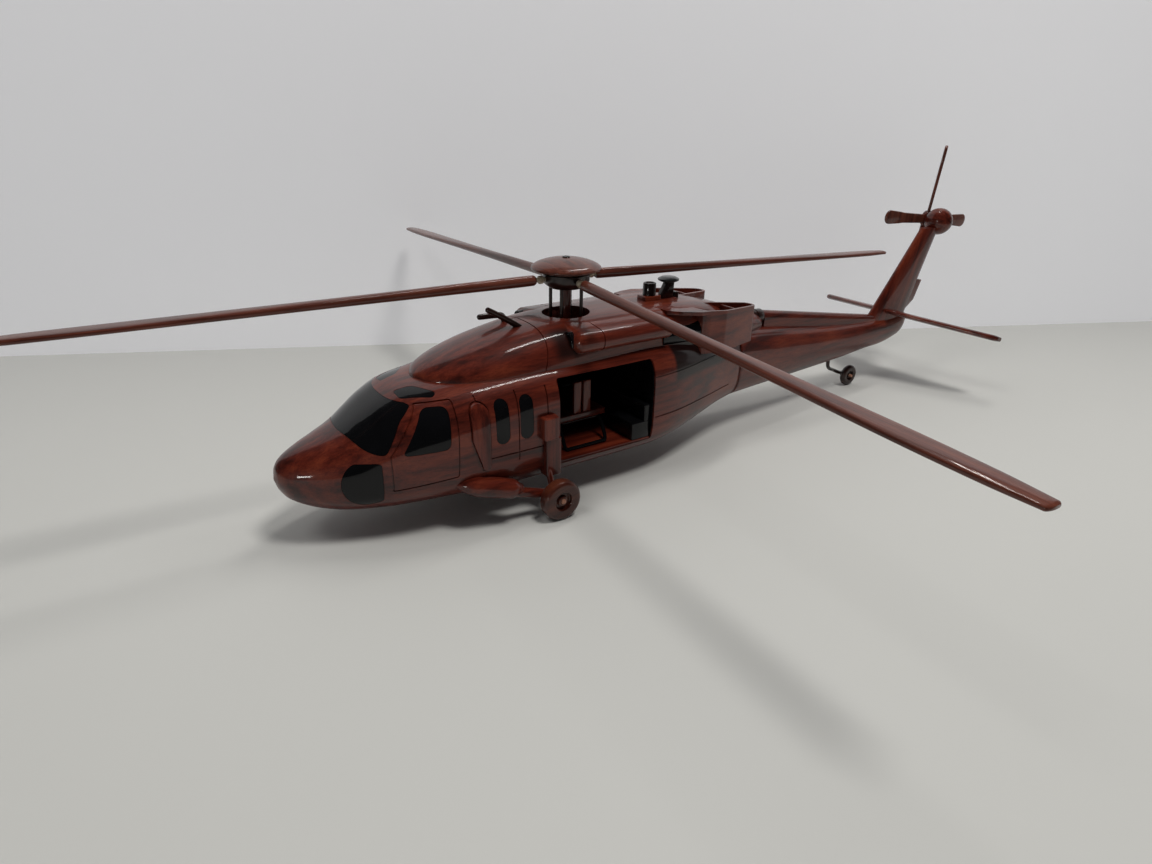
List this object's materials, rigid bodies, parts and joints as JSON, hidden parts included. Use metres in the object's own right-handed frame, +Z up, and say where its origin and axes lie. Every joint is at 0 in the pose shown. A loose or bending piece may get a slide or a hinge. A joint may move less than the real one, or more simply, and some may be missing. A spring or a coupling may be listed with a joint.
{
  "type": "helicopter scale model",
  "caption": "Lacquered wooden display model of a utility helicopter with an open cabin, a spinning main rotor and tail rotor, and rolling wheels.",
  "frame": {"origin": "on the ground plane under the wheels, straight below the main rotor mast", "axes": "+Z up, +Y towards the tail along the centreline (the nose points along -Y), +X to the model's port side"},
  "size_m": [0.623, 0.792, 0.2079],
  "materials": {
    "lacquered_wood": "gloss lacquer",
    "dark_wood": "gloss lacquer",
    "pale_wood": "satin",
    "black_lacquer": "gloss paint",
    "bone_washer": "satin",
    "dark_metal": "semi-gloss"
  },
  "bodies": {
    "airframe": {"fuselage": "lacquered_wood", "tail_boom": "lacquered_wood", "tail_pylon": "lacquered_wood", "stabilator": "lacquered_wood", "tail_gearbox": "lacquered_wood", "driveshaft_cover": "lacquered_wood", "driveshaft_collar": "dark_wood", "top_cowl": "lacquered_wood", "nacelle_port": "lacquered_wood", "nacelle_starboard": "lacquered_wood", "intake_faces": "black_lacquer", "exhaust_ducts": "black_lacquer", "exhaust_scoop_port": "lacquered_wood", "exhaust_scoop_starboard": "lacquered_wood", "exhaust_vanes": "lacquered_wood", "beacon_drum": "dark_wood", "beacon_base": "lacquered_wood", "antenna_stalk": "dark_wood", "antenna_cap": "dark_metal", "antenna_block": "dark_wood", "pitot_port": "dark_wood", "pitot_starboard": "dark_wood", "windshield": "black_lacquer", "roof_windows": "black_lacquer", "chin_windows": "black_lacquer", "door_windows": "black_lacquer", "oval_windows": "black_lacquer", "side_blisters": "lacquered_wood", "cabin_lining": "black_lacquer", "cabin_floor": "lacquered_wood", "cabin_bench": "lacquered_wood", "bench_backs": "lacquered_wood", "seat_frames": "black_lacquer", "rear_bench": "black_lacquer", "mast_bush": "dark_wood", "drag_beam_port": "lacquered_wood", "drag_beam_starboard": "lacquered_wood", "strut_housing_port": "lacquered_wood", "strut_housing_starboard": "lacquered_wood", "strut_rods": "lacquered_wood", "main_axles": "pale_wood", "tail_strut": "dark_wood", "tail_axle": "pale_wood"},
    "main_rotor": {"mast": "lacquered_wood", "hub_ring": "dark_wood", "hub_cap": "lacquered_wood", "cap_screw": "dark_wood", "pushrods": "dark_wood", "blade_port": "lacquered_wood", "blade_aft": "lacquered_wood", "blade_starboard": "lacquered_wood", "blade_forward": "lacquered_wood", "root_washers": "bone_washer"},
    "tail_rotor": {"tail_rotor_shaft": "dark_wood", "tail_rotor_hub": "lacquered_wood", "tail_blades": "dark_wood"},
    "port_wheel": {"wheel_port": "lacquered_wood"},
    "starboard_wheel": {"wheel_starboard": "lacquered_wood"},
    "rear_wheel": {"tail_wheel": "dark_wood"}
  },
  "joints": [
    {"name": "main_rotor_spin", "type": "hinge", "parent": "airframe", "child": "main_rotor", "pos_m": [0, 0, 0.133], "axis": [0, 0, 1], "continuous": true},
    {"name": "tail_rotor_spin", "type": "hinge", "parent": "airframe", "child": "tail_rotor", "pos_m": [0, 0.4155, 0.1427], "axis": [-0.9997, 0, 0.0262], "continuous": true},
    {"name": "port_wheel_spin", "type": "hinge", "parent": "airframe", "child": "port_wheel", "pos_m": [0.062, -0.0428, 0.013], "axis": [1, 0, 0], "continuous": true},
    {"name": "starboard_wheel_spin", "type": "hinge", "parent": "airframe", "child": "starboard_wheel", "pos_m": [-0.062, -0.0428, 0.013], "axis": [1, 0, 0], "continuous": true},
    {"name": "tail_wheel_spin", "type": "hinge", "parent": "airframe", "child": "rear_wheel", "pos_m": [0, 0.3155, 0.0095], "axis": [1, 0, 0], "continuous": true}
  ]
}
